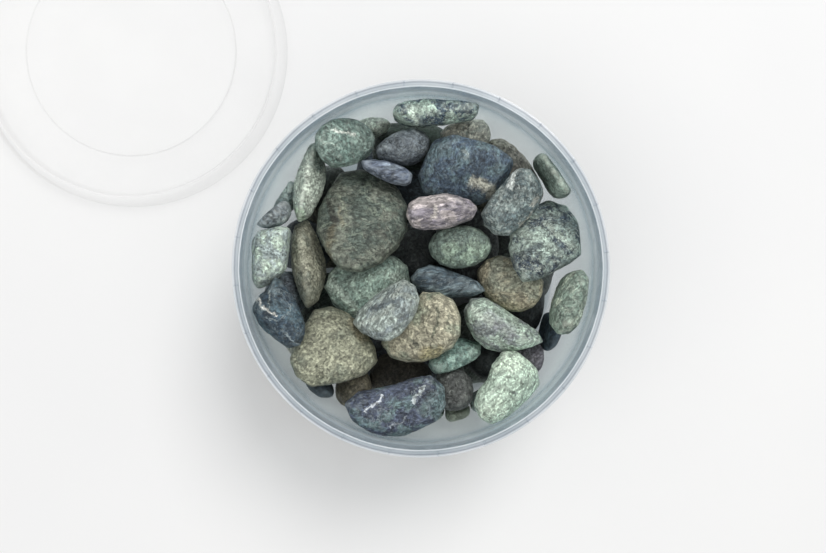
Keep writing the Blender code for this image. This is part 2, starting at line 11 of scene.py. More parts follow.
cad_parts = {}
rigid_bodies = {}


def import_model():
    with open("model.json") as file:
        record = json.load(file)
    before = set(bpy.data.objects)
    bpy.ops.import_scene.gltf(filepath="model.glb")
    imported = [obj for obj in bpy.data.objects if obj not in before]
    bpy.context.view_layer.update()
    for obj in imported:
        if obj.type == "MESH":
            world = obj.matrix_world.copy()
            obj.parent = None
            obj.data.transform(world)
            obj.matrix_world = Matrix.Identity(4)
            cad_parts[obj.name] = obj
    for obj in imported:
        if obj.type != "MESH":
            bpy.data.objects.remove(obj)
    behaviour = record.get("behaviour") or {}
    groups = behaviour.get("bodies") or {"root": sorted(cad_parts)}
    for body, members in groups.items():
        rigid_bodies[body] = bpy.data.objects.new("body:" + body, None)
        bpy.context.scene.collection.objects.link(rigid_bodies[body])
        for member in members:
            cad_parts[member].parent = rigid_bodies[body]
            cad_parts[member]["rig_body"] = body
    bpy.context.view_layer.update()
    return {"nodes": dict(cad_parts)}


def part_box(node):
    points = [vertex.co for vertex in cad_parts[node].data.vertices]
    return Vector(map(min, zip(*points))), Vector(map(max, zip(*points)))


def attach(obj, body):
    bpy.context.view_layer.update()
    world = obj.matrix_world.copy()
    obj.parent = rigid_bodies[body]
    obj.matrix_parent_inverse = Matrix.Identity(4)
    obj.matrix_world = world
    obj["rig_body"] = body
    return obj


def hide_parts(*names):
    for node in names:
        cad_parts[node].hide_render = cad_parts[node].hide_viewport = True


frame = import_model()
MM = 0.001

# Stone shapes
WELD_DISTANCE = 1e-5
FINE_VOXEL = 1.0 * MM           # remesh size of a stone near the top of the pile
COARSE_VOXEL = 1.5 * MM         # remesh size of a stone deep in the pile
SMOOTH_ROUNDS = 22
SMOOTH_IN = 0.6                 # pull of each point towards its neighbours, then the push back
SMOOTH_OUT = -0.61
DEPTH_ROUNDS = 6
MOST_REGAIN = 2.0 * MM          # how far a point may move back out to the CAD surface
GROWTH = 0.36 * MM              # how far a stone is grown into the clearance round its CAD solid
MOST_OUT = 0.40 * MM
MOST_IN = -2.2 * MM
SHIFT = 9.0                     # range of the random shift of the lumps' and pits' noise
LUMP_SCALE = 90.0
LUMP_HEIGHT = 1.3 * MM
LUMP_SHARE = (0.35, 0.5)        # part of LUMP_HEIGHT on a round stone, and what full angularity adds
ANGULAR_LOSS = 0.25 * MM        # how much smaller an angular stone is made
PIT_SCALE = 330.0
PIT_HEIGHT = 0.42 * MM
PIT_OCTAVES = 2
FACETS = (4, 8)                 # flats worn into a round stone, and what full angularity adds
FACET_DEPTH = (0.4 * MM, 1.6 * MM)
FACET_SOFTNESS = 0.5 * MM
FIRST_SEED = 101

# Stone colours
GREYING = 0.12                  # how far each colour is pulled to grey
LUMA = (0.3, 0.5, 0.2)
DEEP_HEIGHT = 0.066             # stones with their crowns below this height are darkened as painted shade, and remeshed coarser
# Painted shade: every colour of a deep stone is multiplied by this, to darken the gaps deep in the pile.
DEEP_PAINTED_SHADE = 0.42

# Noise fields of a stone: scale, detail, roughness.
HALF = (0.5, 0.5, 0.5)
FAR_SHIFT = 4.0                 # range of a stone's random place in the noise
GRAIN_TILT = 0.4
WANDER = (70, 4, 0.6)
MIDDLE = (330, 6, 0.72)
GRAIN = (780, 3, 0.65)
WIDE = (34, 2, 0.5)
FINE = (1250, 3, 0.7)
FLECK = (520, 4, 0.75)
FLECK_SPREAD = (120, 3, 0.6)
SPECK_SPREAD = (240, 3, 0.6)
VEIN = (62, 6, 0.62)
VEIN_SPREAD = (45, 2, 0.5)
CRACK = (48, 7, 0.7)
CRACK_SPREAD = (38, 2, 0.5)
STROKE_EDGE = (520, 5, 0.75)
MOTTLE_DETAIL = (7, 0.66)
MOTTLE_BEND = 0.012
GRAIN_BEND = 0.0045
GRAIN_SQUASH = 0.85
STROKE_BREAK = 0.0055
CRYSTAL_SCALE = 900.0
SPECK_SCALE = 480.0
CRYSTAL_MEAN = (0.34, 0.33, 0.33)

# How a field becomes a tone or a mask: from, to, and the values that these two give.
MIDDLE_TONE = (0.30, 0.70, 0.54, 1.52)
GRAIN_TONE = (0.32, 0.68, 0.66, 1.34)
CRYSTAL_TONE = (0.22, 0.78, 0.60, 1.50)
WIDE_TONE = (0.35, 0.65, 0.80, 1.18)
FLECK_MASK = (0.53, 0.63)
FLECK_PATCHES = (0.38, 0.62, 0.25, 1.0)
SPECK_MASK = (0.16, 0.42, 1.0, 0.0)
SPECK_PATCHES = (0.46, 0.58)
SPARKLE_MASK = (0.58, 0.70)
VEIN_MASK = (0.0035, 0.014, 1.0, 0.0)
VEIN_PATCHES = (0.48, 0.60)
CRACK_MASK = (0.0015, 0.008, 1.0, 0.0)
CRACK_PATCHES = (0.50, 0.62)
WORN_MASK = (0.505, 0.55)
STONE_GLOSS = (0.3, 0.7, 0.52, 0.80)
FLECK_STRENGTH = 0.75
SPECK_STRENGTH = 0.9
SPARKLE_STRENGTH = (0.25, 0.35) # on every stone, and what full flecks add
VEIN_STRENGTH = 0.75
CRACK_STRENGTH = 0.55
WORN_STRENGTH = 0.35
VEIN_LEVEL = 0.5
CRACK_LEVEL = 0.52
SHARE_SHIFT = 0.4               # how far a stone's share of second colour moves its mottling
STROKE_CORE = 0.45              # where a stroke starts to fade, and where it ends, in half widths
STROKE_REACH = 1.5
MIDDLE_HEIGHT = 0.6             # relief of the surface by each field
GRAIN_HEIGHT = 0.35
CRACK_DEPTH = 0.35
SPECK_DEPTH = 0.10
BUMP_HEIGHT = 1.1 * MM
BUMP_STRENGTH = 0.85
STONE_SPECULAR = 0.45

# Direction of the lengthwise grain where the stone shows it, radians.
GRAIN_TURN = {
    "grey_blade_stone": 0.35,
    "pink_bar_stone": 0.0,
    "dark_teardrop_stone": 0.15,
    "blue_grey_wall_pebble": -0.7,
}

# Tub and lid: profiles as (radius, height) in mm.
SEGMENTS = 288
ON_AXIS = 1e-9                  # a radius below this is a point on the axis
CORNER_SHARE = 0.45             # the most of an edge that one rounded corner takes up
CORNER_STEPS = 4
SHARP_ANGLE = math.radians(40)
TUB_ROUNDING = 0.5 * MM
TUB_OUTSIDE = (
    (0, 0.0), (83.0, 0.0), (85.9, 1.2), (86.65, 4.6), (93.4, 95.4), (94.2, 99.8), (94.2, 104.8),
    (96.8, 104.8), (96.8, 96.0), (98.0, 96.0), (98.0, 106.0), (94.4, 106.0), (94.15, 108.4),
    (94.1, 110.0),
)
TUB_INSIDE = (
    (93.1, 110.0), (93.0, 108.6), (93.0, 101.0), (92.6, 100.0), (85.35, 4.6), (84.3, 2.3), (82.0, 1.6),
    (0, 1.6),
)
RIB_COUNT = 24
RIB_INNER, RIB_OUTER = 94.6 * MM, 97.7 * MM
RIB_LOW, RIB_HIGH = 106.0 * MM, 106.5 * MM
RIB_HALF_WIDTH = 0.45 * MM
RIB_START = 0.09
RIB_TAPER = 0.35                # how much narrower a rib is at its top
RIB_END_TAPER = 0.4 * MM
LID_CENTRE = Vector((-183.7 * MM, 139.5 * MM, 0.0))
LID_ROUNDING = 0.45 * MM
LID_OVER = (
    (0, 6.4), (3.0, 6.4), (3.5, 6.0), (66.6, 6.0), (67.6, 5.2), (90.6, 5.2), (92.0, 6.2), (92.6, 10.0),
    (93.6, 11.0), (97.0, 11.0), (98.4, 9.8), (99.0, 0.0),
)
LID_UNDER = (
    (98.1, 0.0), (97.5, 9.2), (95.8, 10.1), (93.5, 9.2), (92.9, 5.7), (91.1, 4.3), (67.1, 4.3), (66.1, 5.1),
    (0, 5.1),
)

# Clear plastic
RING_SPAN = 100.0               # radius in mm at the end of the ring ramps
RING_WAVER = 0.006              # how far the rings in the plastic waver, as a part of that radius
HAZE = (34, 5, 0.6)
SCUFF = (420, 4, 0.75)
SCUFF_STRETCH = (1.0, 6.0, 1.0)
RING_RIPPLE = (60, 3, 0.6)
SURFACE_WAVE = (90, 3, 0.5)
HAZE_RANGE = (0.35, 0.65)
BODY_RANGE = (0.3, 0.7)
PLASTIC_GLOSS = (0.4, 0.7, 0.08, 0.30)
SCUFF_MASK = (0.62, 0.75)
SCUFF_STRENGTH = 0.05
EDGE_RANGE = (0.35, 1.0)
FACING_BLEND = 0.3
PLASTIC_IOR = 1.49
WAVE_STRENGTH = 0.3
WAVE_HEIGHT = 0.4 * MM
# Rings: radius in mm, tint of the light that passes, share that is scattered.
# The bright ring on the lip's top (93.25 to 93.9 mm) is a painted highlight, and the thin dark rings at the
# lip's and collar's edges (92.7 to 93.0, 94.15 and 96.7 mm) are painted shade; the other rings give the
# plastic's tint and scatter.
TUB_RINGS_AND_PAINTED_LINES = (
    (0.0, "FBFCFD", 0.01), (88.0, "F6F9FA", 0.02), (92.0, "EFF4F5", 0.04), (92.7, "D6E0E4", 0.06),
    (93.0, "B4C2C9", 0.08), (93.25, "F8FCFD", 0.40), (93.9, "FFFFFF", 0.52), (94.15, "BAC7D0", 0.10),
    (94.5, "E9EFF2", 0.26), (95.6, "F1F5F7", 0.40), (96.2, "E6ECF1", 0.28), (96.7, "BCC8D4", 0.16),
    (97.0, "FAFBFD", 0.60), (98.2, "FEFEFF", 0.66),
)
# The bright ring at 93.2 mm on the rim's slope is a painted highlight, and the faint darker rings at 66.8
# and 92.4 mm, at the lid's steps, are painted shade.
LID_RINGS_AND_PAINTED_LINES = (
    (0.0, "FFFFFF", 0.0), (66.2, "FFFFFF", 0.0), (66.8, "F7F7F7", 0.02), (67.4, "FFFFFF", 0.0),
    (90.0, "FFFFFF", 0.0), (92.4, "FAFAFA", 0.02), (93.2, "FFFFFF", 0.16), (94.0, "FFFFFF", 0.0),
    (98.0, "FEFEFE", 0.01), (99.2, "FBFBFB", 0.02),
)

# Table, lights and camera
FLOOR_SIZE = 3.0
FLOOR_CELLS = 8
FLOOR_DROP = 0.15 * MM
FLOOR_TONE = (3.0, 3, 0.5)
FLOOR_COLOURS = ((0.86, 0.86, 0.86), (0.89, 0.89, 0.885))
FLOOR_ROUGHNESS = 0.75
FLOOR_SPECULAR = 0.2
WORLD_STRENGTH = 0.585
# Lights: place, width, power.
KEY = ((0.75, 1.3, 2.2), 1.3, 33.0)
FILL = ((-0.8, -0.4, 1.8), 1.6, 6.5)
CAMERA_PLACE = (-0.0041, -0.0042, 0.5413)
SENSOR_WIDTH = 36.0
LENS = 36.67
CLIP = (0.01, 20.0)


def linear(code):
    """Linear RGB of an sRGB hex code."""
    parts = [int(code[i:i + 2], 16) / 255 for i in (0, 2, 4)]
    return tuple(p / 12.92 if p <= 0.04045 else ((p + 0.055) / 1.055) ** 2.4 for p in parts)


def muted(code):
    """Linear RGB of a hex code, greyed a little."""
    colour = linear(code)
    grey = sum(part * share for part, share in zip(colour, LUMA))
    return tuple(GREYING * grey + (1 - GREYING) * part for part in colour)


# ---------------------------------------------------------------- materials

class Graph:
    """Short calls that add nodes to a material."""

    def __init__(self, name):
        self.material = bpy.data.materials.new(name)
        self.material.use_nodes = True
        self.tree = self.material.node_tree
        self.tree.nodes.clear()
        self.output = self.node("ShaderNodeOutputMaterial")
        self.shader = self.node("ShaderNodeBsdfPrincipled")
        self.link(self.shader.outputs[0], self.output.inputs[0])

    def node(self, kind, **settings):
        made = self.tree.nodes.new(kind)
        for key, value in settings.items():
            setattr(made, key, value)
        return made

    def link(self, start, end):
        self.tree.links.new(start, end)

    def feed(self, socket, value):
        if isinstance(value, bpy.types.NodeSocket):
            self.link(value, socket)
        elif value is not None:
            socket.default_value = value

    def math(self, operation, a, b=None, clamp=False):
        made = self.node("ShaderNodeMath", operation=operation, use_clamp=clamp)
        for i, value in enumerate((a, b)):
            self.feed(made.inputs[i], value)
        return made.outputs[0]

    def vector(self, operation, a, b=None, scale=None):
        made = self.node("ShaderNodeVectorMath", operation=operation)
        self.feed(made.inputs[0], a)
        self.feed(made.inputs[1], b)
        if scale is not None:
            self.feed(made.inputs["Scale"], scale)
        gives_number = operation in ("LENGTH", "DOT_PRODUCT", "DISTANCE")
        return made.outputs["Value" if gives_number else "Vector"]

    def times(self, a, b):
        return self.math("MULTIPLY", a, b)

    def noise(self, place, scale, detail, roughness, colour=False):
        made = self.node("ShaderNodeTexNoise")
        self.link(place, made.inputs["Vector"])
        made.inputs["Scale"].default_value = scale
        made.inputs["Detail"].default_value = detail
        made.inputs["Roughness"].default_value = roughness
        return made.outputs["Color" if colour else "Fac"]

    def between(self, value, low, high, to_low=0.0, to_high=1.0):
        made = self.node("ShaderNodeMapRange", interpolation_type="SMOOTHSTEP")
        self.feed(made.inputs["Value"], value)
        made.inputs["From Min"].default_value = low
        made.inputs["From Max"].default_value = high
        made.inputs["To Min"].default_value = to_low
        made.inputs["To Max"].default_value = to_high
        return made.outputs["Result"]

    def mix(self, factor, a, b):
        made = self.node("ShaderNodeMix", data_type="RGBA")
        self.feed(made.inputs["Factor"], factor)
        for socket, value in ((made.inputs[6], a), (made.inputs[7], b)):
            self.feed(socket, (*value, 1.0) if isinstance(value, tuple) else value)
        return made.outputs[2]

    def over(self, colour, mask, strength, other):
        """The colour with another one over it where the mask is high."""
        return self.mix(self.times(mask, strength), colour, other)

    def bump(self, height, strength, distance):
        made = self.node("ShaderNodeBump")
        made.inputs["Strength"].default_value = strength
        made.inputs["Distance"].default_value = distance
        self.link(height, made.inputs["Height"])
        self.link(made.outputs["Normal"], self.shader.inputs["Normal"])


KINDS = {
    # mottle scale, mottle softness, light flecks, dark specks, veins, lengthwise stretch of the grain
    "mottled": (85.0, 0.10, 0.50, 0.35, 0.25, 1.0),
    "speckled": (120.0, 0.08, 0.95, 0.60, 0.15, 1.0),
    "veined": (70.0, 0.10, 0.45, 0.35, 0.80, 1.3),
    "smooth": (55.0, 0.16, 0.20, 0.22, 0.08, 1.0),
    "granite": (190.0, 0.06, 0.75, 0.80, 0.12, 1.0),
    "banded": (90.0, 0.07, 0.60, 0.50, 0.30, 3.2),
}

# name: kind, main colour, second colour, fleck colour, speck colour, share of the second colour, angularity
LOOKS = {
    "green_ridge_stone": ("mottled", "A9B5A6", "74857B", "DDE6D6", "4C5C54", 0.38, 0.35),
    "round_green_stone": ("mottled", "5F756D", "7C9187", "C3D0C4", "2C3A38", 0.42, 0.30),
    "pale_cream_back_stone": ("smooth", "B8C3B3", "8FA194", "E6EADD", "65756C", 0.40, 0.30),
    "moss_back_stone": ("mottled", "54695B", "3D4D44", "8FA392", "222C27", 0.50, 0.40),
    "dark_wedge_stone": ("speckled", "525A60", "6C7579", "A7B2B3", "262C31", 0.40, 0.80),
    "grey_blade_stone": ("banded", "566070", "79848F", "B4BEC6", "2F3844", 0.45, 0.60),
    "mottled_back_stone": ("speckled", "A2B7A8", "3F5260", "D6E3D6", "2B3A48", 0.46, 0.60),
    "blue_angular_stone": ("mottled", "40505F", "55696F", "93A3A6", "222E3B", 0.42, 1.00),
    "peach_back_stone": ("mottled", "B3B2A3", "78827A", "DCDCCD", "59605A", 0.38, 0.40),
    "brown_back_stone": ("smooth", "78746A", "8D8B7C", "A7A698", "4A483F", 0.40, 0.20),
    "speckled_oval_stone": ("speckled", "4F5E60", "74827F", "C8D2CB", "1F2B30", 0.42, 0.55),
    "pale_right_stone": ("mottled", "8EA296", "53655D", "D5DFCE", "3E4D47", 0.42, 0.40),
    "striped_green_stone": ("speckled", "8FA096", "3B4853", "CAD6C9", "222C38", 0.44, 0.80),
    "green_egg_stone": ("mottled", "62736A", "869B88", "AEBFAE", "33403A", 0.45, 0.25),
    "pink_bar_stone": ("banded", "857F88", "B3A9A7", "E0D8D2", "3A3946", 0.46, 0.75),
    "green_giant_stone": ("veined", "4B564E", "696E62", "96A38E", "232824", 0.46, 0.30),
    "sage_big_stone": ("smooth", "6C8277", "93A899", "C6D2C2", "48594F", 0.36, 0.15),
    "swirled_grey_stone": ("veined", "75807F", "9BA8A0", "CDD5C9", "3B444A", 0.46, 0.40),
    "granite_gap_stone": ("granite", "4B5354", "626A69", "8C9695", "232829", 0.45, 0.30),
    "dark_teardrop_stone": ("banded", "43535D", "6D8087", "A9B8B9", "232E38", 0.38, 0.45),
    "cream_beige_stone": ("smooth", "A39F87", "88907B", "C4C2AB", "33382F", 0.42, 0.20),
    "tan_right_stone": ("smooth", "A29A80", "828675", "C6C1A9", "5B5A4B", 0.40, 0.20),
    "green_rim_stone": ("mottled", "7C9082", "B5C3AE", "DCE5D3", "3D4A45", 0.36, 0.30),
    "green_slipper_stone": ("mottled", "A2B5A5", "757D7D", "D9E3D4", "4B5454", 0.36, 0.35),
    "mint_triangle_stone": ("smooth", "ABC0AD", "BFD2BC", "E2ECDC", "8FA294", 0.45, 0.35),
    "teal_wedge_stone": ("mottled", "69877E", "8CA79A", "B5C9BC", "3F544F", 0.42, 0.80),
    "violet_blue_stone": ("veined", "424A5C", "5E7476", "AEBBBE", "1E232E", 0.44, 0.50),
    "olive_big_stone": ("smooth", "8A8C76", "757B6A", "ACAE97", "474634", 0.42, 0.22),
    "navy_left_stone": ("veined", "2B3B47", "40555E", "9CABAC", "15202A", 0.38, 0.70),
    "grey_pale_left_stone": ("speckled", "8E9C9A", "A5B7A6", "D2DDD2", "56636A", 0.44, 0.45),
    "tan_ridge_stone": ("smooth", "8E8E7B", "7D8375", "AEB09C", "585848", 0.42, 0.30),
    "blue_grey_wall_pebble": ("banded", "7A858A", "9BA6A4", "C4CCC8", "414B52", 0.40, 0.35),
    "green_grey_back_stone": ("speckled", "6A7A79", "8E9F97", "B9C6BE", "36433F", 0.42, 0.40),
    "slate_wall_stone": ("mottled", "4C545B", "626E73", "8A9598", "262D33", 0.42, 0.40),
    "buff_wall_stone": ("mottled", "97988B", "7A8079", "C0C2B4", "545A53", 0.42, 0.30),
    "blue_black_pebble": ("veined", "303C44", "46565D", "78878B", "171E24", 0.40, 0.45),
    "bark_brown_pebble": ("mottled", "4B4738", "635E4C", "8B8672", "25231B", 0.42, 0.40),
    "umber_front_stone": ("mottled", "5A5548", "736D5D", "969080", "2B2922", 0.42, 0.35),
    "grey_gap_stone": ("mottled", "4A5051", "616968", "8A9390", "232728", 0.42, 0.35),
    "charcoal_pebble": ("granite", "464846", "5C5F5B", "7F8480", "202221", 0.42, 0.35),
    "plum_side_stone": ("mottled", "625E66", "7B777D", "A29DA2", "333037", 0.42, 0.45),
    "ink_blue_side_stone": ("veined", "33424F", "4B5E69", "8395A0", "18222C", 0.40, 0.60),
    "shadow_grey_stone": ("mottled", "454B4D", "5D6566", "858F8D", "212627", 0.42, 0.35),
    "teal_wall_pebble": ("mottled", "8FA29E", "6E827D", "BCCAC4", "45544F", 0.42, 0.30),
    "sage_wall_pebble": ("mottled", "76897F", "5C6E65", "A9B8AC", "38453E", 0.42, 0.30),
    "olive_wall_pebble": ("mottled", "646C5F", "7D8675", "A0A895", "363B32", 0.42, 0.30),
    "ash_centre_stone": ("granite", "565C5C", "6C7472", "949C99", "2A2E2E", 0.42, 0.30),
    "steel_left_stone": ("mottled", "59636A", "737E83", "9BA6A8", "2B3338", 0.42, 0.40),
    "sage_under_stone": ("mottled", "66706A", "808B83", "A8B3A9", "353B37", 0.42, 0.30),
    "dusk_under_stone": ("mottled", "5A6166", "727A7E", "9AA2A3", "2B3034", 0.42, 0.35),
    "base_stone_1": ("mottled", "66706B", "7E8A83", "AEB9B0", "363D39", 0.42, 0.30),
    "base_stone_2": ("smooth", "8A8A78", "757A6A", "B0B19E", "4D4E40", 0.42, 0.25),
    "base_stone_3": ("veined", "4A5863", "62727B", "9AA9AE", "232D35", 0.42, 0.50),
    "base_stone_4": ("mottled", "7B7C69", "92937F", "B6B8A4", "45463A", 0.42, 0.30),
    "base_stone_5": ("speckled", "66766C", "8CA092", "C0CEC0", "333F38", 0.42, 0.30),
    "base_stone_6": ("mottled", "4E5A60", "67757A", "97A4A6", "262E33", 0.42, 0.45),
    "base_stone_7": ("granite", "93A093", "7C8B80", "CBD6C9", "59665D", 0.42, 0.30),
    "base_stone_8": ("mottled", "5C6663", "737E7A", "9FA9A4", "2D3331", 0.42, 0.30),
}

# Strokes of colour on single stones: (x, y) in mm from, to, half width in mm, colour, strength.
STROKES = {
    "speckled_oval_stone": (
        ((51, 54), (47, 42), 1.5, "D5DCD6", 0.85), ((44, 41), (41, 33), 1.0, "B9C4BC", 0.5),
        ((58, 27), (54, 24), 2.2, "C9C3B2", 0.8), ((60, 36), (57, 33), 1.2, "C2C0B2", 0.6)),
    "navy_left_stone": (
        ((-87, -16), (-75, -24), 0.9, "C6C6BE", 0.9), ((-79, -12), (-77, -20), 0.5, "9FA9A6", 0.6),
        ((-70, -33), (-64, -39), 0.5, "8F9DA0", 0.7)),
    "round_green_stone": (
        ((-44, 73), (-36, 69), 0.9, "D8DFD3", 0.85), ((-52, 66), (-40, 62), 0.5, "A9B9AC", 0.5)),
    "blue_angular_stone": (
        ((28, 45), (38, 42), 2.6, "B9B8A6", 0.85), ((22, 62), (24, 58), 1.0, "A8B3AF", 0.5),
        ((13, 40), (18, 39), 1.2, "A5A99D", 0.6), ((4, 60), (20, 68), 1.0, "6F8086", 0.5)),
    "green_giant_stone": (
        ((-50, 36), (-45, 26), 1.6, "2C2A24", 0.8), ((-46, 22), (-49, 6), 2.4, "57503C", 0.75),
        ((-43, 34), (-41, 22), 0.9, "8C8A72", 0.6), ((-44, 42), (-38, 28), 0.6, "97A08A", 0.6),
        ((-28, 40), (-16, 30), 0.5, "7E8B79", 0.5)),
    "pink_bar_stone": (
        ((-2, 34), (16, 37), 2.8, "CFC4C1", 0.75), ((8, 33), (6, 26), 0.9, "E8DFD6", 0.9),
        ((-5, 27), (22, 25), 1.0, "55525F", 0.65), ((16, 31), (27, 31), 0.5, "5B5866", 0.6)),
    "striped_green_stone": (
        ((60, 33), (84, 22), 3.0, "33404B", 0.60), ((54, 20), (72, 8), 3.4, "9FB0A2", 0.55),
        ((50, 2), (62, 12), 2.2, "35414C", 0.70), ((66, 24), (86, 10), 1.8, "B5C3B4", 0.55),
        ((58, -4), (84, 4), 2.2, "3A4651", 0.6)),
    "mottled_back_stone": (
        ((-6, 88), (-2, 80), 2.2, "C7D5C6", 0.6), ((22, 88), (33, 84), 5.5, "4D5F6C", 0.65),
        ((0, 80), (8, 80), 1.6, "31414F", 0.75), ((8, 90), (14, 83), 1.4, "3A4B58", 0.6)),
    "violet_blue_stone": (
        ((-22, -66), (-30, -76), 0.8, "C5CCD0", 0.75), ((-4, -70), (2, -62), 0.9, "C2CDCC", 0.8),
        ((2, -74), (6, -66), 3.0, "5E7270", 0.6), ((-34, -80), (-20, -84), 2.0, "677F80", 0.55),
        ((-16, -82), (-8, -78), 0.5, "AFB9C0", 0.6)),
    "swirled_grey_stone": (
        ((-26, -22), (-10, -16), 1.3, "4D5961", 0.60), ((-30, -30), (-14, -20), 1.6, "A9B4A9", 0.60),
        ((-20, -34), (-6, -24), 1.0, "525C66", 0.55), ((-14, -14), (-3, -18), 0.9, "B4BFB2", 0.5)),
    "olive_big_stone": (
        ((-38, -50), (-34, -60), 0.7, "A9A990", 0.8), ((-70, -62), (-56, -64), 3.4, "5E563E", 0.60),
        ((-52, -40), (-44, -44), 0.6, "A5A78F", 0.6), ((-36, -30), (-30, -36), 3.0, "8C7D5C", 0.45)),
    "cream_beige_stone": (
        ((3, -46), (10, -44), 3.0, "A89C6C", 0.65), ((8, -22), (6, -36), 0.8, "4B5344", 0.75),
        ((-6, -38), (0, -42), 0.8, "464D40", 0.7), ((14, -24), (16, -34), 0.6, "5D6554", 0.6)),
    "green_ridge_stone": (
        ((-61, 62), (-59, 32), 2.0, "C8D3C2", 0.65), ((-66, 30), (-64, 24), 3.0, "A8C2A2", 0.6)),
    "pale_right_stone": (
        ((72, 58), (79, 44), 1.6, "DCE3D2", 0.80), ((66, 56), (68, 46), 3.4, "41524B", 0.65)),
    "sage_big_stone": (
        ((-14, -4), (-10, -16), 3.6, "A8B8A9", 0.6), ((-52, -4), (-36, -24), 2.4, "AEBEAF", 0.55)),
    "green_slipper_stone": (
        ((36, -26), (48, -34), 3.2, "83858A", 0.60), ((26, -20), (38, -30), 1.6, "C9D6C5", 0.5)),
    "mint_triangle_stone": (((49, -66), (50, -67), 0.9, "5F6C66", 0.85),),
    "tan_ridge_stone": (((-58, 18), (-57, -16), 1.6, "9FA08A", 0.5),),
    "green_rim_stone": (
        ((90, -6), (86, -30), 2.6, "C5D0BB", 0.6), ((72, -22), (78, -34), 2.4, "4D5B54", 0.5)),
    "dark_teardrop_stone": (
        ((6, -10), (14, -13), 1.4, "8DA0A3", 0.6), ((22, -5), (28, -8), 1.0, "97A8AC", 0.5)),
}


def stroke_mask(g, place, start, end, width):
    """1 near a line drawn from above, fading over its width."""
    a = Vector((*start, 0.0)) * MM
    line = Vector((*end, 0.0)) * MM - a
    flat = g.vector("MULTIPLY", place, (1.0, 1.0, 0.0))
    arm = g.vector("SUBTRACT", flat, tuple(a))
    reach = g.vector("DOT_PRODUCT", arm, tuple(line))
    along = g.math("DIVIDE", reach, line.length_squared, clamp=True)
    nearest = g.vector("SCALE", tuple(line), scale=along)
    far = g.vector("DISTANCE", arm, nearest)
    return g.between(far, STROKE_CORE * width * MM, STROKE_REACH * width * MM, 1.0, 0.0)


def stone_places(g, name, where, rng, stretch):
    """Where a stone's noise wanders, and the coordinates of its mottling and of its grain."""
    offset = tuple(rng.uniform(-FAR_SHIFT, FAR_SHIFT) for _ in range(3))
    turn = GRAIN_TURN.get(name, rng.uniform(0, math.pi))
    tilt = tuple(rng.uniform(-GRAIN_TILT, GRAIN_TILT) for _ in range(2))
    turned = g.node("ShaderNodeMapping", vector_type="POINT")
    turned.inputs["Rotation"].default_value = (*tilt, -turn)
    turned.inputs["Location"].default_value = offset
    g.link(where, turned.inputs["Vector"])
    straight = turned.outputs["Vector"]
    wander = g.vector("SUBTRACT", g.noise(straight, *WANDER, colour=True), HALF)
    bent = g.vector("ADD", straight, g.vector("SCALE", wander, scale=MOTTLE_BEND))
    place = g.vector("MULTIPLY", bent, (1.0 / stretch, 1.0, 1.0))
    ripple = g.vector("ADD", straight, g.vector("SCALE", wander, scale=GRAIN_BEND))
    grain_place = g.vector("MULTIPLY", ripple, (GRAIN_SQUASH / stretch, 1.0, 1.0))
    return wander, place, grain_place


def stroked(g, name, colour, where, wander):
    """The colour with the stone's own strokes over it."""
    if name not in STROKES:
        return colour
    rough_edge = g.vector("SUBTRACT", g.noise(where, *STROKE_EDGE, colour=True), HALF)
    broken = g.vector("ADD", where, g.vector("SCALE", wander, scale=MOTTLE_BEND))
    broken = g.vector("ADD", broken, g.vector("SCALE", rough_edge, scale=STROKE_BREAK))
    for start, end, width, code, strength in STROKES[name]:
        mask = stroke_mask(g, broken, start, end, width)
        colour = g.over(colour, mask, strength, muted(code))
    return colour


def voronoi(g, place, scale, output):
    made = g.node("ShaderNodeTexVoronoi", feature="F1")
    made.inputs["Scale"].default_value = scale
    g.link(place, made.inputs["Vector"])
    return made.outputs[output]


def line_mask(g, place, field, level, mask, spread, patches):
    """Thin lines where a noise field crosses a level, in patches."""
    distance = g.math("ABSOLUTE", g.math("SUBTRACT", g.noise(place, *field), level))
    return g.times(g.between(distance, *mask), g.between(g.noise(place, *spread), *patches))


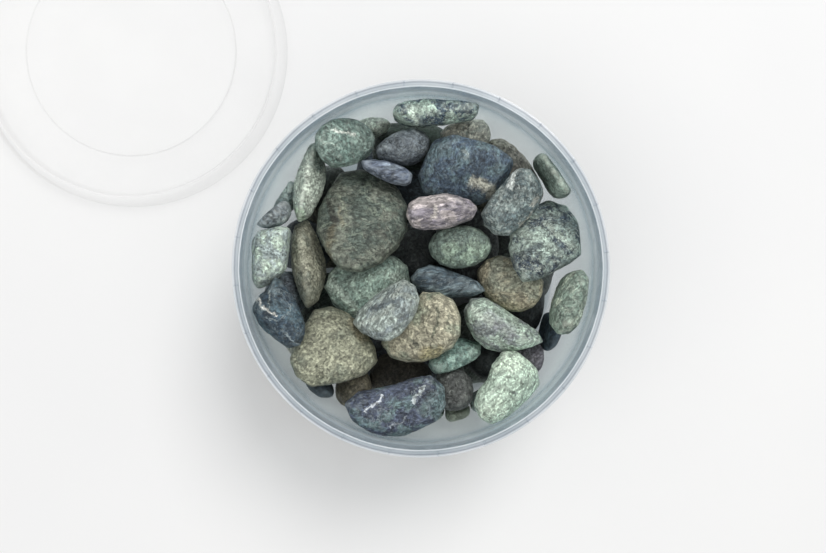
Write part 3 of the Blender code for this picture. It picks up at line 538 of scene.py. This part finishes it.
def stone_material(name, seed):
    kind, main, second, fleck, speck, share, _ = LOOKS[name]
    mottle_scale, soft, flecks, specks, veins, stretch = KINDS[kind]
    # Deep stones get all their colours darkened: painted shade for the gaps in the pile, not the stones'
    # own colour.
    painted_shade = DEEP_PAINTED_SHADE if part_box(name)[1].z < DEEP_HEIGHT else 1.0
    tones = [tuple(part * painted_shade for part in muted(code)) for code in (main, second, fleck, speck)]
    main, second, fleck, speck = tones
    g = Graph(f"{name}_finish")
    where = g.node("ShaderNodeTexCoord").outputs["Object"]
    wander, place, grain_place = stone_places(g, name, where, random.Random(seed), stretch)

    big = g.noise(place, mottle_scale, *MOTTLE_DETAIL)
    middle = g.noise(place, *MIDDLE)
    grain = g.noise(grain_place, *GRAIN)
    crystal = g.vector("DOT_PRODUCT", voronoi(g, grain_place, CRYSTAL_SCALE, "Color"), CRYSTAL_MEAN)
    edge = 0.5 + (0.5 - share) * SHARE_SHIFT
    colour = g.mix(g.between(big, edge - soft / 2, edge + soft / 2), main, second)
    colour = stroked(g, name, colour, where, wander)
    shade = g.times(g.between(middle, *MIDDLE_TONE), g.between(grain, *GRAIN_TONE))
    shade = g.times(shade, g.between(crystal, *CRYSTAL_TONE))
    shade = g.times(shade, g.between(g.noise(place, *WIDE), *WIDE_TONE))
    colour = g.vector("SCALE", colour, scale=shade)

    crystals = g.between(g.noise(grain_place, *FLECK), *FLECK_MASK)
    spread = g.between(g.noise(place, *FLECK_SPREAD), *FLECK_PATCHES)
    colour = g.over(colour, g.times(crystals, spread), flecks * FLECK_STRENGTH, fleck)
    dots = g.between(voronoi(g, place, SPECK_SCALE, "Distance"), *SPECK_MASK)
    dark = g.times(dots, g.between(g.noise(place, *SPECK_SPREAD), *SPECK_PATCHES))
    colour = g.over(colour, dark, specks * SPECK_STRENGTH, speck)
    sparkle = g.between(g.noise(grain_place, *FINE), *SPARKLE_MASK)
    colour = g.over(colour, sparkle, SPARKLE_STRENGTH[0] + SPARKLE_STRENGTH[1] * flecks, fleck)
    seam = line_mask(g, place, VEIN, VEIN_LEVEL, VEIN_MASK, VEIN_SPREAD, VEIN_PATCHES)
    colour = g.over(colour, seam, veins * VEIN_STRENGTH, fleck)
    split = line_mask(g, place, CRACK, CRACK_LEVEL, CRACK_MASK, CRACK_SPREAD, CRACK_PATCHES)
    colour = g.over(colour, split, CRACK_STRENGTH, speck)
    worn = g.between(g.node("ShaderNodeNewGeometry").outputs["Pointiness"], *WORN_MASK)
    colour = g.over(colour, worn, WORN_STRENGTH, fleck)
    g.feed(g.shader.inputs["Base Color"], colour)

    g.feed(g.shader.inputs["Roughness"], g.between(middle, *STONE_GLOSS))
    g.shader.inputs["Specular IOR Level"].default_value = STONE_SPECULAR
    height = g.math("ADD", g.times(middle, MIDDLE_HEIGHT), g.times(grain, GRAIN_HEIGHT))
    height = g.math("SUBTRACT", height, g.times(split, CRACK_DEPTH))
    height = g.math("SUBTRACT", height, g.times(dark, SPECK_DEPTH))
    g.bump(height, BUMP_STRENGTH, BUMP_HEIGHT)
    return g.material


def ring_ramps(g, radius, rings):
    """The tint and the scattered share of the plastic at a radius, with the painted highlight and shade
    rings in them.
    """
    made = []
    for column in (1, 2):
        node = g.node("ShaderNodeValToRGB")
        g.link(radius, node.inputs["Fac"])
        elements = node.color_ramp.elements
        while len(elements) > 1:
            elements.remove(elements[-1])
        for i, row in enumerate(rings):
            position = row[0] / RING_SPAN
            element = elements[0] if i == 0 else elements.new(position)
            element.position = position
            value = row[column]
            element.color = (*(linear(value) if column == 1 else (value,) * 3), 1.0)
        made.append(node.outputs["Color"])
    return made


def plastic_material(name, centre, rings, body, solid, edge_gain, haze_low):
    """Clear moulded plastic: light passes straight through, and more is scattered at edges."""
    g = Graph(name)
    where = g.node("ShaderNodeTexCoord").outputs["Object"]
    haze = g.noise(where, *HAZE)
    scuff = g.noise(g.vector("MULTIPLY", where, SCUFF_STRETCH), *SCUFF)
    flat = g.vector("MULTIPLY", g.vector("SUBTRACT", where, tuple(centre)), (1.0, 1.0, 0.0))
    ripple = g.times(g.math("SUBTRACT", g.noise(where, *RING_RIPPLE), 0.5), RING_WAVER)
    reach = g.times(g.vector("LENGTH", flat), 1 / (RING_SPAN * MM))
    # The ring ramps carry the painted highlight and painted shade rings along with the plastic's tint.
    tint, share = ring_ramps(g, g.math("ADD", reach, ripple), rings)
    clear = g.node("ShaderNodeBsdfTransparent")
    cloud = g.between(haze, *HAZE_RANGE, haze_low, 1.0)
    g.link(g.vector("SCALE", tint, scale=cloud), clear.inputs["Color"])
    body_tone = g.between(haze, *BODY_RANGE)
    g.feed(g.shader.inputs["Base Color"], g.mix(body_tone, linear(body[0]), linear(body[1])))
    g.feed(g.shader.inputs["Roughness"], g.between(scuff, *PLASTIC_GLOSS))
    g.shader.inputs["IOR"].default_value = PLASTIC_IOR
    g.bump(g.noise(where, *SURFACE_WAVE), WAVE_STRENGTH, WAVE_HEIGHT)
    facing = g.node("ShaderNodeLayerWeight")
    facing.inputs["Blend"].default_value = FACING_BLEND
    seen_edge_on = g.between(facing.outputs["Facing"], *EDGE_RANGE, solid, solid + edge_gain)
    amount = g.math("ADD", seen_edge_on, share)
    scuffs = g.times(g.between(scuff, *SCUFF_MASK), SCUFF_STRENGTH)
    amount = g.math("ADD", amount, scuffs, clamp=True)
    blend = g.node("ShaderNodeMixShader")
    g.link(amount, blend.inputs[0])
    g.link(clear.outputs[0], blend.inputs[1])
    g.link(g.shader.outputs[0], blend.inputs[2])
    g.link(blend.outputs[0], g.output.inputs[0])
    return g.material


def floor_material():
    g = Graph("pale_table")
    where = g.node("ShaderNodeTexCoord").outputs["Object"]
    tone = g.between(g.noise(where, *FLOOR_TONE), *BODY_RANGE)
    g.feed(g.shader.inputs["Base Color"], g.mix(tone, *FLOOR_COLOURS))
    g.shader.inputs["Roughness"].default_value = FLOOR_ROUGHNESS
    g.shader.inputs["Specular IOR Level"].default_value = FLOOR_SPECULAR
    return g.material


# ------------------------------------------------------------------- shapes

def new_object(name, mesh, material):
    made = bpy.data.objects.new(name, mesh)
    bpy.context.scene.collection.objects.link(made)
    mesh.materials.clear()
    mesh.materials.append(material)
    mesh.shade_smooth()
    return made


def welded(node):
    """A copy of a CAD node's mesh with its split corners joined."""
    bm = bmesh.new()
    bm.from_mesh(frame["nodes"][node].data)
    bmesh.ops.remove_doubles(bm, verts=bm.verts, dist=WELD_DISTANCE)
    mesh = bpy.data.meshes.new(node + "_shape")
    bm.to_mesh(mesh)
    bm.free()
    return mesh


def remeshed(node, voxel):
    """An even quad mesh over a CAD node."""
    rough = bpy.data.objects.new(node + "_rough", welded(node))
    bpy.context.scene.collection.objects.link(rough)
    remesh = rough.modifiers.new("even", "REMESH")
    remesh.mode = "VOXEL"
    remesh.voxel_size = voxel
    graph = bpy.context.evaluated_depsgraph_get()
    mesh = bpy.data.meshes.new_from_object(rough.evaluated_get(graph))
    bpy.data.objects.remove(rough)
    return mesh


class Neighbours:
    """The edges of a mesh, for means over the points that each point is joined to."""

    def __init__(self, edges, size):
        self.first, self.second = edges[:, 0], edges[:, 1]
        self.size = size
        ends = np.bincount(self.first, minlength=size) + np.bincount(self.second, minlength=size)
        self.count = ends[:, None]

    def mean(self, values):
        total = np.zeros_like(values)
        for i in range(3):
            total[:, i] = (np.bincount(self.first, values[self.second, i], self.size)
                           + np.bincount(self.second, values[self.first, i], self.size))
        return total / self.count


def smoothed(points, near, rounds):
    """Points with their creases eased out and their volume kept."""
    for _ in range(rounds):
        for rate in (SMOOTH_IN, SMOOTH_OUT):
            points = points + rate * (near.mean(points) - points)
    return points


def faceted(points, angular, rng):
    """Points with soft flats worn into the shape."""
    centre = points.mean(0)
    arms = points - centre
    for _ in range(FACETS[0] + round(FACETS[1] * angular)):
        way = np.array([rng.gauss(0, 1), rng.gauss(0, 1), rng.gauss(0.2, 1)])
        way /= np.linalg.norm(way)
        reach = arms @ way
        level = reach.max() - rng.uniform(0.5, 1.0) * (FACET_DEPTH[0] + FACET_DEPTH[1] * angular)
        over = np.maximum(0.0, reach - level)
        pressed = FACET_SOFTNESS * (1 - np.exp(-over / FACET_SOFTNESS))
        arms -= np.outer(over - pressed, way)
    return arms + centre


def read_vectors(collection, kind, count):
    values = np.empty(count * 3)
    collection.foreach_get(kind, values)
    return values.reshape(-1, 3)


def write_points(mesh, points):
    mesh.vertices.foreach_set("co", points.ravel())
    mesh.update()


def lost_depth(node, points, normals, near):
    """How far the CAD surface is outside each point, evened out so that creases stay eased."""
    mesh = welded(node)
    faces = [tuple(p.vertices) for p in mesh.polygons]
    tree = BVHTree.FromPolygons([v.co for v in mesh.vertices], faces)
    depth = np.zeros((len(points), 3))
    for i, point in enumerate(points):
        nearest = tree.find_nearest(Vector(point))[0]
        depth[i, 0] = (np.array(nearest) - point) @ normals[i]
    for _ in range(DEPTH_ROUNDS):
        depth = near.mean(depth)
    bpy.data.meshes.remove(mesh)
    return np.clip(depth[:, 0], 0.0, MOST_REGAIN)


def surface_relief(points, angular, rng):
    """How far each point of a stone moves out for its growth, lumps and pits."""
    shift = Vector([rng.uniform(-SHIFT, SHIFT) for _ in range(3)])
    lumps = np.array([noise.noise(Vector(p) * LUMP_SCALE + shift) for p in points])
    pits = np.array([noise.fractal(Vector(p) * PIT_SCALE + shift, 1.0, 2.0, PIT_OCTAVES) for p in points])
    out = GROWTH + lumps * LUMP_HEIGHT * (LUMP_SHARE[0] + LUMP_SHARE[1] * angular)
    out = out - ANGULAR_LOSS * angular + pits * PIT_HEIGHT
    return np.clip(out, MOST_IN, MOST_OUT)


def build_stone(node, seed):
    angular = LOOKS[node][6]
    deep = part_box(node)[1].z < DEEP_HEIGHT
    mesh = remeshed(node, COARSE_VOXEL if deep else FINE_VOXEL)
    size = len(mesh.vertices)
    edges = np.empty(len(mesh.edges) * 2, np.int32)
    mesh.edges.foreach_get("vertices", edges)
    near = Neighbours(edges.reshape(-1, 2), size)
    rng = random.Random(seed)
    points = smoothed(read_vectors(mesh.vertices, "co", size), near, SMOOTH_ROUNDS)
    write_points(mesh, points)
    normals = read_vectors(mesh.vertex_normals, "vector", size)
    points = points + normals * lost_depth(node, points, normals, near)[:, None]
    relief = surface_relief(points, angular, rng)
    points = faceted(points + normals * relief[:, None], angular, rng)
    write_points(mesh, smoothed(points, near, 1))
    stone = new_object(node + "_tumbled", mesh, stone_material(node, seed))
    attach(stone, frame["nodes"][node]["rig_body"])
    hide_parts(node)


def turned_mesh(name, profile, centre):
    """A mesh turned about Z from (radius, height) points, from axis to axis."""
    bm = bmesh.new()
    rings = []
    angles = [math.tau * i / SEGMENTS for i in range(SEGMENTS)]
    for radius, height in profile:
        if radius < ON_AXIS:
            rings.append([bm.verts.new(centre + Vector((0, 0, height)))])
            continue
        places = [Vector((radius * math.cos(a), radius * math.sin(a), height)) for a in angles]
        rings.append([bm.verts.new(centre + place) for place in places])
    for lower, upper in zip(rings, rings[1:]):
        for i in range(SEGMENTS):
            j = (i + 1) % SEGMENTS
            corners = [lower[i % len(lower)], lower[j % len(lower)]]
            corners += [upper[j % len(upper)], upper[i % len(upper)]]
            unique = list(dict.fromkeys(corners))
            if len(unique) > 2:
                bm.faces.new(unique)
    bmesh.ops.recalc_face_normals(bm, faces=bm.faces)
    mesh = bpy.data.meshes.new(name)
    bm.to_mesh(mesh)
    bm.free()
    return mesh


def rounded(profile, radius):
    """A profile in mm as metres, with each inner corner rounded."""
    corners = [Vector((x * MM, y * MM)) for x, y in profile]
    made = [corners[0]]
    for before, corner, after in zip(corners, corners[1:], corners[2:]):
        cut = min(radius, CORNER_SHARE * min((before - corner).length, (after - corner).length))
        start = corner + (before - corner).normalized() * cut
        end = corner + (after - corner).normalized() * cut
        for i in range(CORNER_STEPS + 1):
            t = i / CORNER_STEPS
            made.append(start * (1 - t) ** 2 + corner * 2 * t * (1 - t) + end * t ** 2)
    made.append(corners[-1])
    return [(p.x, p.y) for p in made]


def add_rib(bm, angle):
    """A small radial rib on the collar, as a closed wedge."""
    along = Vector((math.cos(angle), math.sin(angle), 0))
    across = Vector((-along.y, along.x, 0)) * RIB_HALF_WIDTH
    verts = []
    for height, inset in ((RIB_LOW, 0.0), (RIB_HIGH, RIB_TAPER)):
        inner, outer = RIB_INNER + RIB_END_TAPER * inset, RIB_OUTER - RIB_END_TAPER * inset
        for radius, side in ((inner, 1), (outer, 1), (outer, -1), (inner, -1)):
            place = along * radius + across * side * (1 - inset) + Vector((0, 0, height))
            verts.append(bm.verts.new(place))
    low_ring, high_ring = verts[:4], verts[4:]
    bm.faces.new(high_ring)
    bm.faces.new(low_ring[::-1])
    for i in range(4):
        j = (i + 1) % 4
        bm.faces.new((low_ring[i], low_ring[j], high_ring[j], high_ring[i]))


def add_ribs(mesh):
    bm = bmesh.new()
    bm.from_mesh(mesh)
    for k in range(RIB_COUNT):
        add_rib(bm, RIB_START + math.tau * k / RIB_COUNT)
    bmesh.ops.recalc_face_normals(bm, faces=bm.faces)
    bm.to_mesh(mesh)
    bm.free()


def build_tub():
    mesh = turned_mesh("tub_shell", rounded(TUB_OUTSIDE + TUB_INSIDE, TUB_ROUNDING), Vector((0, 0, 0)))
    add_ribs(mesh)
    material = plastic_material("tub_clear_plastic", Vector((0, 0, 0)), TUB_RINGS_AND_PAINTED_LINES, ("E6ECF0", "F8FAFC"),
                                solid=0.05, edge_gain=0.46, haze_low=0.98)
    tub = new_object("tub_shell", mesh, material)
    mesh.set_sharp_from_angle(angle=SHARP_ANGLE)
    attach(tub, "tub")
    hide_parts("tub")


def build_lid():
    mesh = turned_mesh("lid_shell", rounded(LID_OVER + LID_UNDER, LID_ROUNDING), LID_CENTRE)
    material = plastic_material("lid_clear_plastic", LID_CENTRE, LID_RINGS_AND_PAINTED_LINES, ("FFFFFF", "FAFAFA"),
                                solid=0.008, edge_gain=0.05, haze_low=0.995)
    lid = new_object("lid_shell", mesh, material)
    mesh.set_sharp_from_angle(angle=SHARP_ANGLE)
    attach(lid, "lid")
    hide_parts("lid")


def build_floor():
    bm = bmesh.new()
    bmesh.ops.create_grid(bm, x_segments=FLOOR_CELLS, y_segments=FLOOR_CELLS, size=FLOOR_SIZE)
    mesh = bpy.data.meshes.new("table")
    bm.to_mesh(mesh)
    bm.free()
    floor = new_object("table", mesh, floor_material())
    floor.location = (0, 0, -FLOOR_DROP)


def area_light(name, place, width, power):
    """A round lamp aimed at the tub's foot."""
    data = bpy.data.lights.new(name, "AREA")
    data.shape = "DISK"
    data.size = width
    data.energy = power
    light = bpy.data.objects.new(name, data)
    light.location = place
    light.rotation_euler = (-Vector(place)).to_track_quat("-Z", "Y").to_euler()
    bpy.context.scene.collection.objects.link(light)


def build_lights():
    world = bpy.data.worlds.new("studio")
    world.use_nodes = True
    background = world.node_tree.nodes["Background"]
    background.inputs["Color"].default_value = (1.0, 1.0, 1.0, 1.0)
    background.inputs["Strength"].default_value = WORLD_STRENGTH
    bpy.context.scene.world = world
    area_light("key", *KEY)
    area_light("fill", *FILL)


def build_camera():
    data = bpy.data.cameras.new("camera")
    data.sensor_width = SENSOR_WIDTH
    data.lens = LENS
    data.clip_start, data.clip_end = CLIP
    camera = bpy.data.objects.new("camera", data)
    camera.location = CAMERA_PLACE
    bpy.context.scene.collection.objects.link(camera)
    bpy.context.scene.camera = camera
    bpy.context.scene.view_settings.view_transform = "Standard"


build_camera()
build_lights()
build_floor()
for number, stone_name in enumerate(LOOKS):
    build_stone(stone_name, FIRST_SEED + number)
build_tub()
build_lid()
